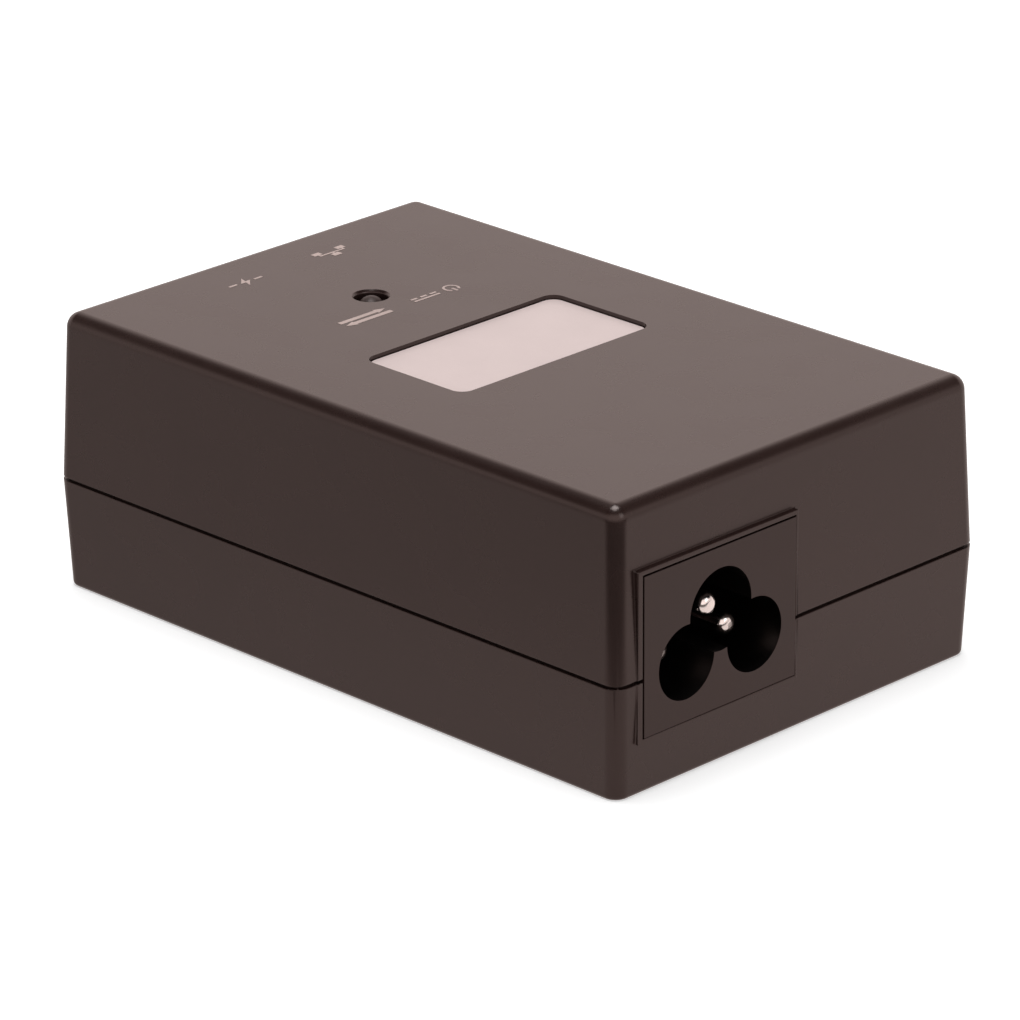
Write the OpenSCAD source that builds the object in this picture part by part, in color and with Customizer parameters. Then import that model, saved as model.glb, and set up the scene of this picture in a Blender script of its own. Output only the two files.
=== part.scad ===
// Power injector: a two-piece case with a cloverleaf mains inlet, two network sockets and a status lamp.
// Length runs along X with the mains inlet at +X, width along Y, height along Z. Sizes are in millimetres.

/* [Case] */
// Length of the case at its parting line
case_length = 80; // [72:1:110]
// Width of the case at its parting line
case_width = 52; // [47:1:80]
// Height of the closed case
case_height = 30; // [27:0.5:45]
// Height of the parting line above the base
parting_height = 11.85; // [11:0.05:15]
// Thickness of the case walls
wall = 2; // [1.7:0.1:2.3]
// Slope of the walls away from the parting line, in degrees
draft_angle = 2.2; // [0.5:0.1:2.6]
// Radius of the upright corners at the parting line
corner_radius = 1.6; // [1:0.1:3.5]
// Radius of the edge round the top face
top_edge_radius = 1.6; // [0.5:0.1:1.9]
// Radius of the edge round the base
base_edge_radius = 0.5; // [0.5:0.1:1.9]
// Radius of the edges inside the case
inner_radius = 0.6; // [0.3:0.1:1]
// Height of the shadow line between the two halves
seam_height = 0.3; // [0.1:0.05:0.5]
// Depth of the shadow line
seam_depth = 0.5; // [0.2:0.05:0.6]
// Height of the tongue that lines up the two halves
tongue_height = 1.2; // [0.8:0.1:2]
// Thickness of the tongue
tongue_thickness = 0.8; // [0.6:0.05:0.9]
// Distance of the tongue's inner face behind the inside of the wall
tongue_setback = 0.15; // [0.1:0.05:0.2]
// Gap between the tongue and the upper case
tongue_clearance = 0.1; // [0.05:0.05:0.2]

/* [Case screws] */
// Diameter of the screw columns
column_diameter = 6.4; // [6:0.1:7]
// Diameter of the screw shank
screw_diameter = 2.9; // [2.5:0.1:3]
// Diameter of the screw head
screw_head_diameter = 5; // [4.4:0.1:5.2]
// Height of the screw head
screw_head_height = 1.9; // [1.5:0.1:2.5]
// Length of the screw below its head
screw_length = 14; // [11:1:17]
// Length of the screw's point
screw_point = 1; // [0.6:0.1:1.4]
// Width of the cross slot in the screw head
screw_slot = 0.7; // [0.5:0.1:1]
// Depth of the sunk hole for the head, from the base
screw_sink = 5; // [4:0.5:6]
// Gap round the shank in the lower case and round the head
screw_clearance = 0.25; // [0.15:0.05:0.3]
// Gap round the shank in the upper case
screw_bite = 0.02; // [0.02:0.01:0.05]
// Distance of the rear screws from the socket end
rear_screw_inset = 6; // [5.5:0.1:6.5]
// Distance of the screws from the long sides
side_screw_inset = 4.9; // [4.7:0.1:5.4]

/* [Labels] */
// Length of the sunk label seat on top, along the case
label_length = 14.1; // [10:0.1:20]
// Width of the sunk label seat on top
label_width = 27.1; // [16:0.1:34]
// Corner radius of the label seat
label_corner = 1.5; // [0.5:0.1:3]
// Depth of the label seats
label_seat_depth = 0.6; // [0.3:0.05:0.8]
// Thickness of a label
label_thickness = 0.15; // [0.1:0.05:0.25]
// Gap between a label and the edge of its seat
label_gap = 0.15; // [0.1:0.05:0.3]
// Length of the rating label under the base
rating_length = 34; // [20:1:40]
// Width of the rating label under the base
rating_width = 26; // [16:1:30]

/* [Status lamp] */
// Distance of the lamp from the socket end
lamp_inset = 20.05; // [20:0.05:21]
// Diameter of the lamp hole
lamp_hole_diameter = 3.5; // [3.4:0.1:5]
// Width of the sloped rim of the lamp hole
lamp_rim = 0.25; // [0.1:0.05:0.5]
// Diameter of the lamp
lamp_diameter = 3; // [2.8:0.1:3.2]
// Height of the lamp from flange to tip
lamp_height = 5.3; // [4.5:0.1:6]
// Height of the lamp flange
lamp_flange_height = 1; // [0.8:0.1:1.2]
// Diameter of the lamp flange
lamp_flange_diameter = 3.8; // [3.5:0.1:4.4]
// Depth of the lamp tip below the top face
lamp_sink = 0.05; // [0.05:0.05:0.8]
// Diameter of the spacer below the lamp
lamp_spacer_diameter = 4.8; // [4.4:0.1:5]
// Distance between the lamp leads
lamp_lead_pitch = 2.54; // [2:0.01:2.6]
// Width of the square lamp leads
lamp_lead_width = 0.5; // [0.4:0.05:0.6]
// Gap round a lamp lead in the spacer
lamp_lead_gap = 0.15; // [0.1:0.05:0.2]

/* [Circuit board] */
// Thickness of the board
board_thickness = 1.6; // [1.2:0.2:2]
// Corner radius of the board
board_corner = 0.8; // [0.5:0.1:1]
// Gap between the board and the screw columns
board_column_gap = 0.5; // [0.3:0.1:0.6]
// Gap between the board and the case walls
board_gap = 0.6; // [0.4:0.1:0.8]
// Height of the posts below the board
post_height = 2.4; // [2:0.1:3]
// Diameter of the posts below the board
post_diameter = 5; // [4:0.5:6]
// Diameter of the locating pin on each post
post_pin_diameter = 1.9; // [1.5:0.1:2.4]
// Depth of a locating pin's top below the top of the board
post_pin_sink = 0.3; // [0.1:0.1:0.6]
// Gap round a locating pin in the board
post_pin_clearance = 0.1; // [0.05:0.05:0.2]
// Distance of the posts from the ends of the case
post_end_inset = 13; // [12.5:0.1:14]
// Distance of the posts from the long sides
post_side_inset = 6; // [5.8:0.1:6.2]
// Diameter of the hold-down posts above the board
hold_down_diameter = 4; // [3:0.1:4.4]
// Gap between the hold-down posts and the board
hold_down_gap = 0.05; // [0.03:0.01:0.1]
// Diameter of the component leads
lead_diameter = 0.7; // [0.6:0.05:0.9]
// Gap round a lead in the board
lead_clearance = 0.15; // [0.1:0.05:0.2]
// Length of a lead below the board
lead_stub = 1; // [0.6:0.1:1.4]

/* [Mains inlet] */
// Width of the inlet plate
inlet_width = 21.2; // [21:0.1:22]
// Height of the inlet plate
inlet_height = 16.6; // [16:0.1:17]
// Depth of the inlet housing
inlet_depth = 15; // [14.5:0.1:15.4]
// Distance of the inlet plate from the long side of the case
inlet_side_gap = 3.75; // [3.5:0.05:4.5]
// Depth of the inlet plate below the pad round it
inlet_recess = 0; // [0:0.05:1]
// Gap above the inlet plate and on its outer side
inlet_clearance = 0.15; // [0.15:0.05:0.3]
// Gap below the inlet plate and on its inner side
inlet_seat_gap = 0.05; // [0.05:0.05:0.2]
// How far the pad round the plate stands out from the end wall at the parting line
pad_stand = 0.1; // [0:0.05:0.4]
// Width of the pad on the outer side of the plate
pad_outer = 0.9; // [0.4:0.05:1]
// Width of the pad on the inner side of the plate
pad_inner = 0.35; // [0.3:0.05:0.6]
// Width of the pad above the plate
pad_top = 0.7; // [0.4:0.05:1.2]
// Width of the pad below the plate
pad_bottom = 0.5; // [0.3:0.05:0.8]
// How far the collar behind the wall stands out round the plate
collar_reach = 0.7; // [0.5:0.1:0.8]
// Thickness of the collar
collar_thickness = 1.5; // [1:0.1:2]
// Depth of the cloverleaf recess
recess_depth = 12; // [11.5:0.1:12.2]
// Radius of the two lower lobes
ear_radius = 3.85; // [3.7:0.05:3.9]
// Radius of the upper lobe
head_radius = 4.3; // [4.2:0.01:4.6]
// Distance between the two lower lobes
ear_spacing = 9.5; // [9.3:0.1:9.7]
// Height of the lower lobes above the foot of the plate
ear_height = 6.1; // [5.7:0.1:6.1]
// Rise of the upper lobe above the lower lobes
head_rise = 4.05; // [3.7:0.01:4.2]
// Diameter of the contact pins
pin_diameter = 2.4; // [2.2:0.1:2.6]
// Diameter of the pins inside the rear wall
pin_root_diameter = 2; // [1.8:0.1:2.1]
// Radius of the edge round a pin's tip
pin_tip_radius = 0.9; // [0.3:0.1:1]
// Depth of the line and neutral pin tips below the plate
live_pin_sink = 3.2; // [2.6:0.1:4]
// Depth of the earth pin tip below the plate
earth_pin_sink = 1.3; // [1:0.1:2.4]
// Gap round a pin root in the rear wall and in its terminal
pin_clearance = 0.05; // [0.03:0.01:0.1]
// Length of a pin root behind its terminal
pin_root_end = 0.4; // [0.2:0.1:0.6]
// Height of the terminals above the board
terminal_lift = 1; // [0.8:0.1:1.5]
// Thickness of the terminals
terminal_thickness = 0.7; // [0.5:0.1:0.8]
// Width of the terminals
terminal_width = 3; // [2.8:0.1:3.4]

/* [Network sockets] */
// Distance between the two ports
port_pitch = 14; // [13.8:0.1:14.4]
// Width of the housing round one port
port_width = 15.2; // [14.8:0.1:15.6]
// Height of the jack housing
jack_height = 13.4; // [13.2:0.1:14]
// Depth of the jack housing
jack_depth = 15.8; // [15.6:0.1:15.9]
// Depth of the shield face below the end wall at the parting line
jack_recess = 0.75; // [0.65:0.05:1]
// Thickness of the shield sheet
shield_thickness = 0.25; // [0.2:0.05:0.3]
// Gap between the shield and the housing
shield_gap = 0.05; // [0.03:0.01:0.08]
// Gap round the shield in the case
jack_clearance = 0.2; // [0.15:0.05:0.3]
// Width of the plug opening
plug_width = 11.9; // [11.8:0.05:12]
// Height of the plug opening
plug_height = 6.9; // [6.8:0.05:7]
// Depth of the plug opening
plug_depth = 11.8; // [11.5:0.1:11.9]
// Height of the plug opening above the board
plug_rise = 3.5; // [3.3:0.1:3.6]
// Width of the latch channel
latch_width = 6.4; // [6.2:0.1:6.6]
// Depth of the latch channel below the plug opening
latch_drop = 1.6; // [1.5:0.1:1.8]
// Width of the inner latch groove
latch_groove_width = 3.6; // [3.2:0.1:4]
// Depth of the inner latch groove below the channel
latch_groove_drop = 0.8; // [0.6:0.1:1]
// Number of contacts in a port
contact_count = 8; // [4:2:8]
// Distance between contacts
contact_pitch = 1.016; // [1:0.002:1.02]
// Width of a contact
contact_width = 0.46; // [0.4:0.02:0.5]
// Thickness of a contact
contact_thickness = 0.35; // [0.3:0.01:0.4]
// Height of the contact bend above the board
bend_height = 11.3; // [11.2:0.05:11.4]
// Distance of the contact bend behind the housing face
bend_inset = 2; // [1.9:0.05:2.2]
// Radius of the carrier nose that the contacts bend round
nose_radius = 0.45; // [0.4:0.01:0.5]
// Gap between the nose and a contact spring
nose_clearance = 0.05; // [0.02:0.01:0.08]
// Length of the straight part of a contact spring
spring_length = 8; // [7.5:0.1:8.4]
// Downward slope of a contact spring at rest, in degrees
spring_slope = 20; // [18:0.5:20.5]
// Gap between the fixed part of a contact and the start of its bend
bend_gap = 0.1; // [0.05:0.05:0.15]
// Gap in front of the contact bends
slot_gap = 0.25; // [0.2:0.05:0.3]
// Gap above the contact bends
slot_headroom = 0.4; // [0.3:0.05:0.5]
// Gap beside the row of contacts
slot_margin = 0.3; // [0.2:0.05:0.4]
// Distance of the carrier's rear from the rear of the housing
carrier_inset = 1.1; // [1:0.05:1.2]
// Thickness of the carrier's leg
carrier_leg = 2.2; // [2:0.1:2.3]
// Distance of the carrier's sides inside the plug opening's sides
carrier_margin = 0.6; // [0.5:0.05:0.7]
// Gap between the carrier and the housing
carrier_gap = 0.05; // [0.03:0.01:0.1]
// Distance between the two rows of contact tails
tail_step = 1.27; // [1.2:0.01:1.3]
// Thickness of the wall behind the plug opening
plug_wall = 0.6; // [0.5:0.1:0.7]
// Gap between the shield and the edges of the plug openings
window_margin = 0.15; // [0.1:0.05:0.2]
// Length of a locating peg below the board
peg_stub = 0.6; // [0.4:0.1:1]
// Diameter of the locating pegs below the housing
peg_diameter = 3; // [2.6:0.1:3.2]
// Gap round a locating peg in the board
peg_clearance = 0.1; // [0.05:0.05:0.2]

/* [Power parts] */
// Board length between the sockets and the inlet at which the power parts have their full size
room_length = 47.3; // [40:0.1:60]
// Board width at which the power parts have their full size
room_width = 46.2; // [40:0.1:60]
// Height above the board at which the power parts have their full size
room_height = 22; // [18:0.1:30]
// Gap between the inlet and the parts beside it
parts_gap = 0.9; // [0.5:0.1:1.5]
// Diameter of the bulk capacitor
bulk_diameter = 12.5; // [10:0.5:13]
// Height of the bulk capacitor
bulk_height = 20; // [16:0.5:21]
// Diameter of the output capacitors
output_cap_diameter = 8; // [6.3:0.1:8.5]
// Height of the output capacitors
output_cap_height = 15; // [11:0.5:20]
// Height of the crimp groove above the foot of a capacitor can
groove_rise = 2; // [1.5:0.1:2.5]
// Width of the crimp groove
groove_width = 0.8; // [0.5:0.1:1]
// Depth of the crimp groove
groove_depth = 0.4; // [0.2:0.1:0.5]
// Distance between the leads of the larger round parts
lead_pitch = 5; // [4:0.5:5]
// Distance between the leads of the output capacitors
small_lead_pitch = 3.5; // [2.5:0.5:3.5]
// Height that a lead reaches into its part
lead_grip = 0.6; // [0.4:0.1:0.8]
// Diameter of the input fuse
fuse_diameter = 8; // [7:0.5:8.5]
// Height of the input fuse
fuse_height = 7.5; // [6:0.5:9]
// Diameter of the surge varistor
varistor_diameter = 10; // [8:0.5:11]
// Thickness of the surge varistor
varistor_thickness = 4; // [3:0.5:4.5]
// Diameter of the bridging capacitor
bridging_diameter = 8; // [6:0.5:9]
// Thickness of the bridging capacitor
bridging_thickness = 4; // [3:0.5:5]
// Height of the disc parts above the board
disc_lift = 1.5; // [1:0.1:2]
// Length of the line filter capacitor
filter_cap_length = 12.5; // [10:0.5:13]
// Width of the line filter capacitor
filter_cap_width = 6; // [4:0.5:6.5]
// Height of the line filter capacitor
filter_cap_height = 12; // [9:0.5:14]
// Gap between the line filter capacitor and the edge of the board
filter_edge_gap = 1.2; // [0.8:0.1:1.5]
// Outer diameter of the choke core
choke_outer = 12; // [11:0.5:12.5]
// Inner diameter of the choke core
choke_inner = 6; // [5.5:0.5:6.5]
// Height of the choke core
choke_height = 5; // [4:0.5:7]
// Thickness of the choke windings
choke_winding = 1.2; // [0.8:0.1:1.4]
// Gap between a core and its winding or bobbin
core_gap = 0.1; // [0.05:0.05:0.15]
// Width of the transformer core
core_width = 18; // [17:0.5:19]
// Depth of the transformer core
core_depth = 6; // [5:0.5:7]
// Height of the transformer core
core_height = 16; // [14:0.5:18]
// Thickness of the transformer yokes and outer legs
core_leg = 2.9; // [2.5:0.1:3.2]
// Width of the transformer centre leg
core_centre = 4.8; // [4:0.1:5.2]
// Height of the transformer core above the board
core_lift = 2; // [1.5:0.1:2.5]
// Depth of the transformer winding across the core
winding_depth = 13; // [12:0.5:13.5]
// Corner radius of the transformer winding
winding_corner = 1.5; // [1:0.1:2]
// Thickness of the bobbin tube
bobbin_wall = 0.6; // [0.4:0.1:0.8]
// Thickness of the bobbin flanges
flange_thickness = 0.8; // [0.6:0.1:1]
// How far the bobbin flanges stand out past the winding
flange_reach = 0.7; // [0.4:0.1:0.9]
// Length of the bobbin foot rails
rail_length = 12.8; // [12:0.1:13]
// Width of the bobbin foot rails
rail_width = 2.6; // [2:0.1:3]
// Distance between the transformer pins
transformer_pitch = 3.2; // [2.8:0.1:3.6]
// Length of the controller chip
controller_length = 9.6; // [9:0.1:10]
// Length of the bridge rectifier
bridge_length = 8.4; // [8:0.1:9]
// Length of the optocoupler
optocoupler_length = 4.6; // [4.4:0.1:5]
// Width of the chip bodies
chip_width = 6.4; // [6:0.1:6.6]
// Height of the chip bodies
chip_height = 3.3; // [3:0.1:3.6]
// Height of the chip bodies above the board
chip_lift = 0.4; // [0.2:0.1:0.6]
// Distance between the two rows of chip legs
chip_span = 7.62; // [7.4:0.01:7.8]
// Distance between chip or transistor legs
chip_pitch = 2.54; // [2.4:0.01:2.6]
// Width of a chip leg
chip_leg_width = 0.6; // [0.4:0.05:0.6]
// Thickness of a chip leg
chip_leg_thickness = 0.3; // [0.2:0.05:0.35]
// Width of the power devices
device_width = 10; // [9.6:0.1:10.4]
// Thickness of the power devices
device_thickness = 4.4; // [4.2:0.1:4.8]
// Height of the power devices' plastic
device_height = 9; // [8.5:0.1:9.5]
// Height of the power devices above the board
device_lift = 3; // [2.5:0.1:3.5]
// Distance of the power devices' legs from the heatsink
device_leg_reach = 2.6; // [2.4:0.1:2.8]
// Thickness of the power devices' tabs
tab_thickness = 1.3; // [1.2:0.05:1.4]
// Height of the power devices' tabs
tab_height = 15.4; // [15:0.1:15.8]
// Height of the screw hole above the foot of a tab
tab_hole_height = 12.8; // [12.5:0.1:13]
// Diameter of the screw hole in a tab
tab_hole_diameter = 3.2; // [3:0.1:3.6]
// Length of the primary heatsink
primary_sink_length = 16; // [13:0.5:17]
// Length of the secondary heatsink
secondary_sink_length = 12; // [11:0.5:12.5]
// Height of the heatsinks
heatsink_height = 19; // [18:0.5:20]
// Thickness of the heatsinks
heatsink_thickness = 1.5; // [1:0.1:1.6]
// Diameter of the heatsink screws
sink_screw_diameter = 2.5; // [2.2:0.1:2.8]
// Diameter of the heatsink screws' heads
sink_screw_head = 4.6; // [4.2:0.1:5]
// Height of the heatsink screws' heads
sink_screw_head_height = 1.8; // [1.4:0.1:2]
// Diameter of the output inductor
inductor_diameter = 8; // [6:0.5:8]
// Height of the output inductor
inductor_height = 9; // [7:0.5:12]
// Thickness of the output inductor's end discs
inductor_flange = 1.5; // [1:0.1:2]
// Depth of the output inductor's waist
inductor_waist = 0.6; // [0.4:0.1:1]

/* [Hidden] */
$fn = 48;
// Overlap of joined shapes, and how far a cut runs past a face
tiny = 0.02;
past = 1;
half_length = case_length / 2;
half_width = case_width / 2;
slope = tan(draft_angle);
ceiling = case_height - wall;
label_seat = case_height - label_seat_depth;
board_bottom = wall + post_height;
board_top = board_bottom + board_thickness;
lead_end = board_bottom - lead_stub;

// Position of the outer end wall and the outer side wall at a height
function end_at(z) = half_length - slope * abs(z - parting_height);
function side_at(z) = half_width - slope * abs(z - parting_height);

board_length = 2 * (end_at(board_bottom) - wall - board_gap);
board_width = 2 * (side_at(board_bottom) - wall - board_gap);
north = board_width / 2;

// Mains inlet
inlet_face = half_length + pad_stand - inlet_recess;
inlet_rear = inlet_face - inlet_depth;
inlet_y = -(half_width - inlet_side_gap - inlet_width / 2);
inlet_low = inlet_y - inlet_width / 2;
inlet_high = inlet_y + inlet_width / 2;
inlet_top = board_top + inlet_height;
recess_floor = inlet_face - recess_depth;
rear_wall = inlet_depth - recess_depth;
ear_z = board_top + ear_height;
head_z = ear_z + head_rise;
pin_hole_diameter = pin_root_diameter + 2 * pin_clearance;
pin_root_start = inlet_rear - terminal_thickness - pin_root_end;
pin_shoulder = recess_floor + pin_clearance;
collar_front = end_at(inlet_top + collar_reach) - wall - inlet_clearance;

// Network sockets
jack_width = port_pitch + port_width;
shield_face = -(half_length - jack_recess);
jack_face = shield_face + shield_thickness + shield_gap;
jack_rear = jack_face + jack_depth;
jack_top = board_top + jack_height;
shield_top = jack_top + shield_gap + shield_thickness;
shield_half = jack_width / 2 + shield_gap + shield_thickness;
plug_floor = board_top + plug_rise;
plug_top = plug_floor + plug_height;
latch_groove_floor = plug_floor - latch_drop - latch_groove_drop;
plug_end = jack_face + plug_depth;
bend_x = jack_face + bend_inset;
bend_z = board_top + bend_height;
bend_inner = nose_radius + nose_clearance;
bend_outer = bend_inner + contact_thickness;
carrier_low = bend_z - nose_radius;
carrier_high = bend_z + nose_radius;
carrier_rear = jack_rear - carrier_inset;
carrier_half = plug_width / 2 - carrier_margin;
contact_half = contact_count * contact_pitch / 2 + slot_margin;

// Lamp
lamp_x = -half_length + lamp_inset;
lamp_tip = case_height - lamp_sink;
lamp_foot = lamp_tip - lamp_height;
lamp_lead_hole = lamp_lead_width * sqrt(2) + 2 * lamp_lead_gap;

// Screw columns
rear_column_x = -(half_length - rear_screw_inset);
front_column_x = inlet_rear - column_diameter / 2 - parts_gap;
column_y = half_width - side_screw_inset;
column_split = parting_height + tongue_height + tongue_clearance;
tongue_length = case_length - 2 * wall + 2 * tongue_thickness;
tongue_width = case_width - 2 * wall + 2 * tongue_thickness;
tongue_corner = corner_radius * 0.6;
outside = [half_length + wall, half_width + wall];
// How far the openings in the end walls reach into the case
opening_reach = 2.5 * wall;
columns = [
    [rear_column_x, -column_y],
    [rear_column_x, column_y],
    [front_column_x, -column_y],
    [front_column_x, column_y]
];
screw_tip = screw_sink + screw_length;

// Posts below the board and the two hold-down posts above it
post_x = half_length - post_end_inset;
post_y = half_width - post_side_inset;
post_pin_hole = post_pin_diameter + 2 * post_pin_clearance;
posts = [[-post_x, -post_y], [-post_x, post_y], [post_x, -post_y], [post_x, post_y]];
hold_down_foot = board_top + hold_down_gap;
hold_downs = [[-post_x, -post_y], [-post_x, post_y]];

// Room for the power parts: they spread over it, and are smaller where it is smaller
span = inlet_rear - jack_rear;
span_middle = (inlet_rear + jack_rear) / 2;
fit = min(1, span / room_length, board_width / room_width, (ceiling - board_top) / room_height);
lead_depth = (board_thickness + lead_stub) / fit;

// Point on the board, given as shares of the room's length and of the board's width
function place(along, across) = [span_middle + along * span, across * board_width];
// Point beside the inlet, given as a share of its depth and the width of what stands there
function beside(along, width) = [inlet_rear + along * inlet_depth, beside_low + width * fit / 2];
beside_low = inlet_high + collar_reach + parts_gap;

// Centres of the parts on the board
fuse_at = beside(0.513, fuse_diameter);
varistor_at = beside(0.053, varistor_diameter);
filter_at = [inlet_rear + 0.38 * inlet_depth, north - filter_edge_gap - filter_cap_width * fit / 2];
bulk_at = place(0.319, -0.152);
bridge_at = place(0.373, 0.13);
choke_at = place(0.17, 0.3225);
transformer_at = place(-0.053, -0.091);
controller_at = place(-0.12, 0.208);
optocoupler_at = place(-0.307, 0.208);
bridging_at = place(-0.099, 0.392);
inductor_at = place(-0.176, -0.366);
primary_at = place(0.095, -0.45);
secondary_at = place(-0.314, 0.45);
output_caps_at = [place(-0.38, -0.375), place(-0.38, -0.18)];

// Points in a straight row round a centre
function row_of(c, count, step) = [for (i = [0:count - 1]) c + (i - (count - 1) / 2) * step];
// Points in the two rows of a chip
function chip_rows(count) = concat(
    row_of([0, chip_span / 2], count, [chip_pitch, 0]),
    row_of([0, -chip_span / 2], count, [chip_pitch, 0])
);
// Where the leads of a part go through the board; turn is -1 for a part that faces the other way
function on_board(at, points, turn = 1) = [for (p = points) at + turn * fit * p];
// Where the tails of one port go through the board
function tails_of(y) = [for (i = [0:contact_count - 1]) [tail_x(i), contact_y(y, i)]];
function tail_x(i) = carrier_rear + contact_thickness / 2 + (i % 2) * tail_step;
function contact_y(y, i) = y + (i - (contact_count - 1) / 2) * contact_pitch;

// Leads of each part, in the part's own frame
pair_along = row_of([0, 0], 2, [lead_pitch, 0]);
pair_across = row_of([0, 0], 2, [0, lead_pitch]);
small_pair = row_of([0, 0], 2, [0, small_lead_pitch]);
filter_lead_pitch = filter_cap_length * 0.84;
filter_leads = row_of([0, 0], 2, [filter_lead_pitch, 0]);
choke_middle = (choke_outer + choke_inner) / 4;
choke_leads = concat(
    row_of([0, choke_middle], 2, [choke_middle, 0]),
    row_of([0, -choke_middle], 2, [choke_middle, 0])
);
rail_y = winding_depth / 2 + flange_reach - rail_width / 2;
transformer_leads = concat(
    row_of([0, rail_y], 4, [transformer_pitch, 0]),
    row_of([0, -rail_y], 4, [transformer_pitch, 0])
);
device_leads = row_of([0, device_leg_reach], 3, [chip_pitch, 0]);
lamp_leads_at = row_of([lamp_x, 0], 2, [0, lamp_lead_pitch]);
terminal_x = inlet_rear - terminal_thickness / 2;
live_ys = [inlet_y - ear_spacing / 2, inlet_y + ear_spacing / 2];
terminal_leads = [[terminal_x, live_ys[0]], [terminal_x, inlet_y], [terminal_x, live_ys[1]]];
board_leads = concat(
    on_board(fuse_at, pair_along),
    on_board(varistor_at, pair_across),
    on_board(filter_at, filter_leads),
    on_board(bulk_at, pair_across),
    on_board(bridge_at, chip_rows(2)),
    on_board(choke_at, choke_leads),
    on_board(transformer_at, transformer_leads),
    on_board(controller_at, chip_rows(4)),
    on_board(optocoupler_at, chip_rows(2)),
    on_board(bridging_at, pair_along),
    on_board(inductor_at, pair_along),
    on_board(output_caps_at[0], small_pair),
    on_board(output_caps_at[1], small_pair),
    on_board(primary_at, device_leads),
    on_board(secondary_at, device_leads, -1),
    lamp_leads_at,
    terminal_leads,
    tails_of(port_pitch / 2),
    tails_of(-port_pitch / 2)
);
peg_x = jack_face + jack_depth * 0.44;
peg_y = jack_width / 2 - peg_diameter * 0.8;
pegs = [[peg_x, -peg_y], [peg_x, peg_y]];

// Box between two opposite corners
module box(low, high) {
    translate(low)
        cube(high - low);
}

// Round bar along X from a point
module bar_x(at, d, length) {
    translate(at)
        rotate([0, 90, 0])
            cylinder(d = d, h = length);
}

// Round bar along Y from a point
module bar_y(at, d, length) {
    translate(at)
        rotate([-90, 0, 0])
            cylinder(d = d, h = length);
}

// Flat plate with round corners, centred, standing on a height
module plate(length, width, radius, low, high) {
    translate([0, 0, low])
        linear_extrude(high - low) {
            square([length - 2 * radius, width], center = true);
            square([length, width - 2 * radius], center = true);
            for (x = [-1, 1], y = [-1, 1])
                translate([x * (length / 2 - radius), y * (width / 2 - radius)])
                    circle(r = radius);
        }
}

// Disc that rounds an upright corner and the edge it runs into; a ball where both radii are the same
module corner_disc(corner, edge) {
    core = corner - edge;
    rotate_extrude($fn = 32)
        intersection() {
            union() {
                translate([core, 0])
                    circle(r = edge, $fn = 32);
                if (core > 0)
                    translate([0, -edge])
                        square([core, 2 * edge]);
            }
            translate([0, -edge])
                square([corner, 2 * edge]);
        }
}

// Drafted block that starts past the parting line and ends in a rounded edge at a height
module drafted_block(end_z, edge, corner, inset) {
    side = end_z > parting_height ? 1 : -1;
    disc_z = end_z - side * edge;
    reach = max(corner, edge);
    start_z = parting_height - side * wall;
    spread = slope * wall - inset - corner;
    hull() {
        for (x = [-1, 1], y = [-1, 1]) {
            translate([x * (end_at(disc_z) - inset - reach), y * (side_at(disc_z) - inset - reach), disc_z])
                corner_disc(reach, edge);
            translate([x * (half_length + spread), y * (half_width + spread), start_z])
                cylinder(r = corner, h = tiny, center = true, $fn = 32);
        }
    }
}

// Stands a power part on the board at the scale that the room allows
module stand(at, turn = 0) {
    translate([at[0], at[1], board_top])
        rotate(turn)
            scale(fit)
                children();
}

// Round leads from a part down through the board, in the part's own frame
module leads(points, high) {
    for (p = points)
        translate([p[0], p[1], -lead_depth])
            cylinder(d = lead_diameter, h = lead_depth + high);
}

// Upright pad on the sloping end wall round the inlet plate, between two heights
module inlet_pad(low, high) {
    front = half_length + pad_stand;
    box([half_length - wall, inlet_low - pad_outer, low], [front, inlet_high + pad_inner, high]);
}

// Opening for the inlet plate
module inlet_opening() {
    box(
        [half_length - opening_reach, inlet_low - inlet_clearance, board_top - inlet_seat_gap],
        [half_length + past, inlet_high + inlet_seat_gap, inlet_top + inlet_clearance]
    );
}

// Lamp hole with a sloped rim at the top face
module lamp_hole() {
    translate([lamp_x, 0, ceiling - past])
        cylinder(d = lamp_hole_diameter, h = wall + 2 * past);
    translate([lamp_x, 0, case_height - lamp_rim])
        cylinder(d1 = lamp_hole_diameter, d2 = lamp_hole_diameter + 4 * lamp_rim, h = 2 * lamp_rim);
}

// Opening for the network sockets
module socket_opening() {
    g = jack_clearance;
    box(
        [-half_length - past, -shield_half - g, board_top - g],
        [-half_length + opening_reach, shield_half + g, shield_top + g]
    );
}

module lower_case() {
    color("#3a3230")
        difference() {
            union() {
                difference() {
                    union() {
                        drafted_block(0, base_edge_radius, corner_radius, 0);
                        inlet_pad(board_top - pad_bottom, parting_height + wall);
                    }
                    drafted_block(wall, inner_radius, inner_radius, wall);
                    slab(parting_height, parting_height + 2 * wall);
                }
                tongue();
                for (c = columns)
                    translate([c[0], c[1], wall / 2])
                        cylinder(d = column_diameter, h = column_split - wall / 2);
                for (p = posts)
                    translate([p[0], p[1], wall / 2])
                        cylinder(d = post_diameter, h = board_bottom - wall / 2);
                for (p = posts)
                    translate([p[0], p[1], wall])
                        cylinder(d = post_pin_diameter, h = board_top - post_pin_sink - wall);
            }
            for (c = columns) {
                translate([c[0], c[1], -past])
                    cylinder(d = screw_head_diameter + 2 * screw_clearance, h = screw_sink + past);
                translate([c[0], c[1], -past])
                    cylinder(d = screw_diameter + 2 * screw_clearance, h = column_split + 2 * past);
            }
            plate(rating_length, rating_width, label_corner, -past, label_seat_depth / 2);
            inlet_opening();
            socket_opening();
        }
}

// Slab wider than the case between two heights
module slab(low, high) {
    box([-outside[0], -outside[1], low], [outside[0], outside[1], high]);
}

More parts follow.
